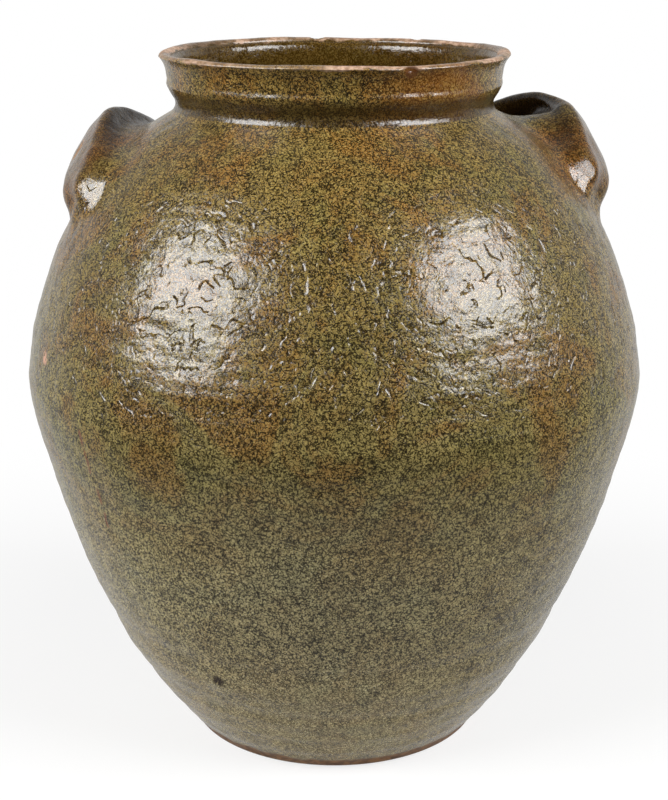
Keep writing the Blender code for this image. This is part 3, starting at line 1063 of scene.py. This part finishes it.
def make_floor():
    """A pale round floor that shows the jar's shadow and turns plain white towards its edge."""
    deselect_all()
    bpy.ops.mesh.primitive_circle_add(vertices=96, radius=FLOOR_RADIUS, fill_type="NGON",
                                      location=(0, 0, -0.0004))
    floor = bpy.context.object
    floor.name = "floor"
    bpy.ops.object.transform_apply(location=True)
    p = Paint("floor_paint")
    p.feed(p.shader.inputs["Base Color"], FLOOR_GREY)
    p.shader.inputs["Roughness"].default_value = 1
    p.shader.inputs["Specular IOR Level"].default_value = 0
    radius = p.radius()
    seen = p.ray("Is Camera Ray")
    clear = (p.step(radius, 0.14, 0.46) * (1 - seen)).most(p.ray("Is Glossy Ray") * 0.82)
    paper = p.layered(clear, p.shader.outputs[0], p.node("ShaderNodeBsdfTransparent").outputs[0])
    white = p.node("ShaderNodeEmission", Color=(1, 1, 1), Strength=1.0).outputs[0]
    lit = p.layered((p.step(radius, 0.16, 0.55) * 0.32 + 0.68) * seen, paper, white)
    p.feed(p.tree.nodes["Material Output"].inputs["Surface"], lit)
    floor.data.materials.append(p.material)


def softbox(name, azimuth, elevation, power):
    """An area lamp seen from the jar at an angle from -Y towards +X."""
    a, e = math.radians(azimuth), math.radians(elevation)
    away = Vector((math.sin(a) * math.cos(e), -math.cos(a) * math.cos(e), math.sin(e)))
    data = bpy.data.lights.new(name, "AREA")
    data.shape = "RECTANGLE"
    data.size = LAMP_WIDE
    data.size_y = LAMP_HIGH
    data.energy = power
    lamp = bpy.data.objects.new(name, data)
    bpy.context.collection.objects.link(lamp)
    lamp.location = Vector(LIT_MIDDLE) + away * LAMP_DISTANCE
    lamp.rotation_euler = away.to_track_quat("Z", "Y").to_euler()


def light_studio():
    """Two softboxes, and a room that is dim in front and overhead but white to the camera."""
    softbox("left_softbox", -60, 29, 33)
    softbox("right_softbox", 62, 30, 32)
    world = bpy.data.worlds.new("studio")
    bpy.context.scene.world = world
    world.use_nodes = True
    room = Tree(world.node_tree)
    back = world.node_tree.nodes["Background"]
    room.feed(back.inputs["Color"], (1, 1, 1))
    _, deep, high = room.parts(room.node("ShaderNodeTexCoord").outputs["Generated"])
    paper = room.step(deep, -0.1, 0.8) * (0.68 - 0.045) + 0.045
    paper = paper * (1 - room.step(high, 0.10, 0.60) * (1 - 0.45))
    seen = room.ray("Is Camera Ray")
    room.feed(back.inputs["Strength"], paper * (1 - seen) + seen)


def aim_camera():
    """Pinhole camera fitted to the jar in the photograph."""
    data = bpy.data.cameras.new("camera")
    camera = bpy.data.objects.new("camera", data)
    bpy.context.collection.objects.link(camera)
    data.sensor_width = SENSOR
    data.lens = FOCAL_PIXELS * SENSOR / PICTURE_HEIGHT
    data.shift_x = -0.5 / PICTURE_HEIGHT
    camera.location = CAMERA_PLACE
    camera.rotation_euler = (math.radians(90 - CAMERA_DIP), 0, 0)
    bpy.context.scene.camera = camera


# Putting it together

def main():
    """Make the pieces and finishes, and put each piece in the place of its node."""
    glazes = make_glazes()
    right = Strap(direction=26.0, facing=-1, climb=RIGHT_CLIMB, shorter=0.16, far_lean=18,
                  width=0.0340, webs=(0.020, 0.030, 0.024, 0.018, 0.016), side=-1,
                  hollow=((-0.97, -0.85, -0.50, -0.10, 0.45), (0.0, 0.90, 0.86, 0.42, 0.0)))
    left = Strap(direction=166.0, facing=1, climb=LEFT_CLIMB, shorter=0.26, far_lean=8,
                 width=0.0320, webs=(0.010, 0.008, 0.008, 0.016, 0.016), side=1,
                 hollow=((-0.95, -0.70, -0.10, 0.30), (0.0, 0.75, 0.60, 0.0)))
    straps = [right, left]
    pieces = [(make_lower_wall(), "lower_body", "lower_glaze"),
              (make_shoulder_wall(straps), "upper_body", "shoulder_glaze"),
              (make_collar(), "rim_collar", "collar_glaze"),
              (make_strap("right_strap", right, straps), "right_handle", "handle_glaze"),
              (make_strap("left_strap", left, straps), "left_handle", "handle_glaze")]
    for piece, node, slot in pieces:
        piece.data.materials.clear()
        piece.data.materials.append(glazes[slot])
        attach(piece, "root")
        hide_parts(node)
    make_floor()
    light_studio()
    aim_camera()
    bpy.context.scene.view_settings.view_transform = "Standard"


main()
